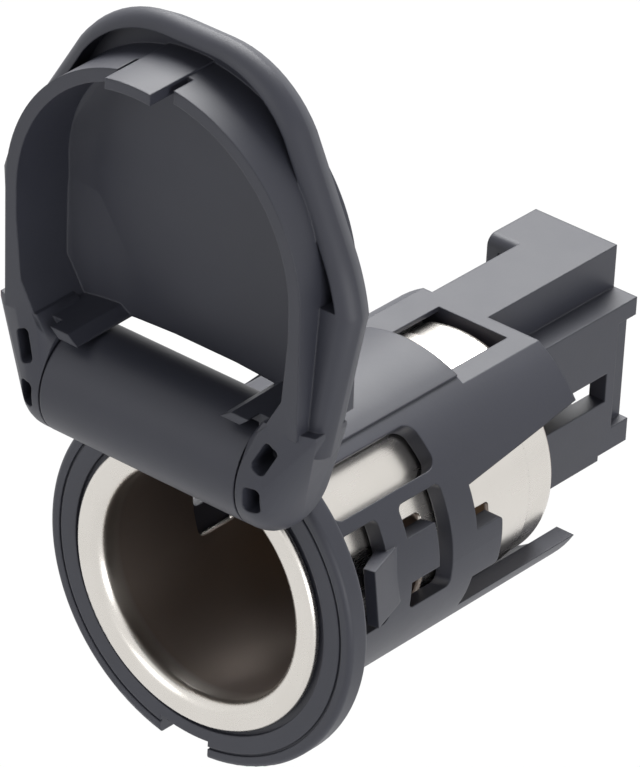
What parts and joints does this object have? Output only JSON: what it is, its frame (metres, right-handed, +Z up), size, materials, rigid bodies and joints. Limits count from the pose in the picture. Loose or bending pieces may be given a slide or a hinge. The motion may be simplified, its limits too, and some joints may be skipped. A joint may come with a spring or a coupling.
{
  "type": "car 12v power socket",
  "caption": "Panel-mounted 12 V power socket for a car dash: steel socket shell in a clip-in plastic housing, with a sprung hinged lid that stands open and a rear plug shroud.",
  "frame": {"origin": "on the socket axis, in the plane of the flange's rear face that seats on the panel", "axes": "+Y along the socket axis towards the wiring end, with the mouth facing -Y; +Z up towards the lid hinge; +X to the side that carries the lower half of the plug shroud's ledge"},
  "size_m": [0.0382, 0.0659, 0.0711],
  "materials": {
    "black_plastic": "fine satin moulding",
    "plated_steel": "bright nickel plate",
    "brass": "plain stamped",
    "insulator_card": "pressed fibre",
    "spring_steel": "drawn wire"
  },
  "bodies": {
    "base": {"housing": "black_plastic", "socket_shell": "plated_steel", "contact_insulator": "insulator_card", "centre_contact": "brass", "contact_rivet": "brass", "outer_insulator": "insulator_card", "positive_blade": "brass", "earth_blade": "brass", "lid_spring": "spring_steel"},
    "lid": {"lid": "black_plastic"}
  },
  "joints": [
    {"name": "lid_hinge", "type": "hinge", "parent": "base", "child": "lid", "pos_m": [0, -0.0062, 0.01787], "axis": [1, 0, 0], "range_deg": [0, 178], "stiffness_Nm_per_rad": 0.0012, "springref_deg": -51.57, "deforming": ["lid_spring"]}
  ]
}
